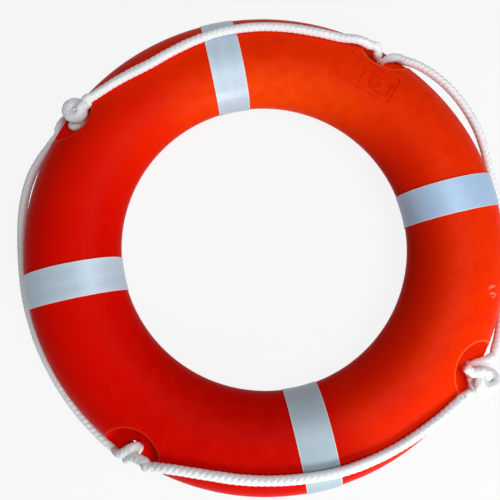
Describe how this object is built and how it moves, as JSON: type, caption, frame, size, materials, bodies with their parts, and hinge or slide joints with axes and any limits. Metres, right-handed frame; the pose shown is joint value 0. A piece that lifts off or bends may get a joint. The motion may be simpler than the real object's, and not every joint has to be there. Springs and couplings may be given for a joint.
{
  "type": "life ring with grab line",
  "caption": "Orange ring life buoy with silver reflective bands and a white braided grab line that is knotted through recesses in its outer rim.",
  "frame": {"origin": "on the ring's axis, at the height of the flat soles of the reflective bands that it lies on", "axes": "+Z is the ring's axis and the front face looks along it; +Y points to the band that the picture shows at the top, +X to the band at the right"},
  "size_m": [0.7583, 0.7292, 0.1196],
  "materials": {
    "orange_shell": "satin moulded polyethylene",
    "foam": "closed cell polyurethane foam",
    "plug": "satin",
    "reflective_tape": "silver retroreflective sheeting",
    "braided_line": "braided polypropylene line"
  },
  "bodies": {
    "ring": {"front_shell": "orange_shell", "back_shell": "orange_shell", "foam_core": "foam", "fill_plug": "plug", "vent_plug": "plug", "reflective_tape_right": "reflective_tape", "reflective_tape_top": "reflective_tape", "reflective_tape_left": "reflective_tape", "reflective_tape_bottom": "reflective_tape", "line_knot_top_left": "braided_line", "line_knot_bottom_left": "braided_line", "line_knot_top_right": "braided_line", "line_stopper_front": "braided_line", "line_stopper_back": "braided_line"},
    "top_loop": {"grab_line_top": "braided_line"},
    "left_loop": {"grab_line_left": "braided_line"},
    "bottom_loop": {"grab_line_bottom": "braided_line"},
    "right_loop": {"grab_line_right": "braided_line"}
  },
  "joints": [
    {"name": "top_loop_swing", "type": "hinge", "parent": "ring", "child": "top_loop", "pos_m": [0.00909, 0.25812, 0.10454], "axis": [0.9998, -0.0125, -0.0131], "range_deg": [0, 40]},
    {"name": "left_loop_swing", "type": "hinge", "parent": "ring", "child": "left_loop", "pos_m": [-0.28656, -0.00344, 0.0506], "axis": [-0.0125, 0.9999, -0.0042], "range_deg": [-15, 15]},
    {"name": "bottom_loop_swing", "type": "hinge", "parent": "ring", "child": "bottom_loop", "pos_m": [-0.00781, -0.27546, 0.09855], "axis": [-0.9995, 0.032, 0.002], "range_deg": [0, 60]},
    {"name": "right_loop_swing", "type": "hinge", "parent": "ring", "child": "right_loop", "pos_m": [0.28683, -0.00106, 0.0695], "axis": [0.032, -0.999, -0.0297], "range_deg": [0, 90]}
  ]
}
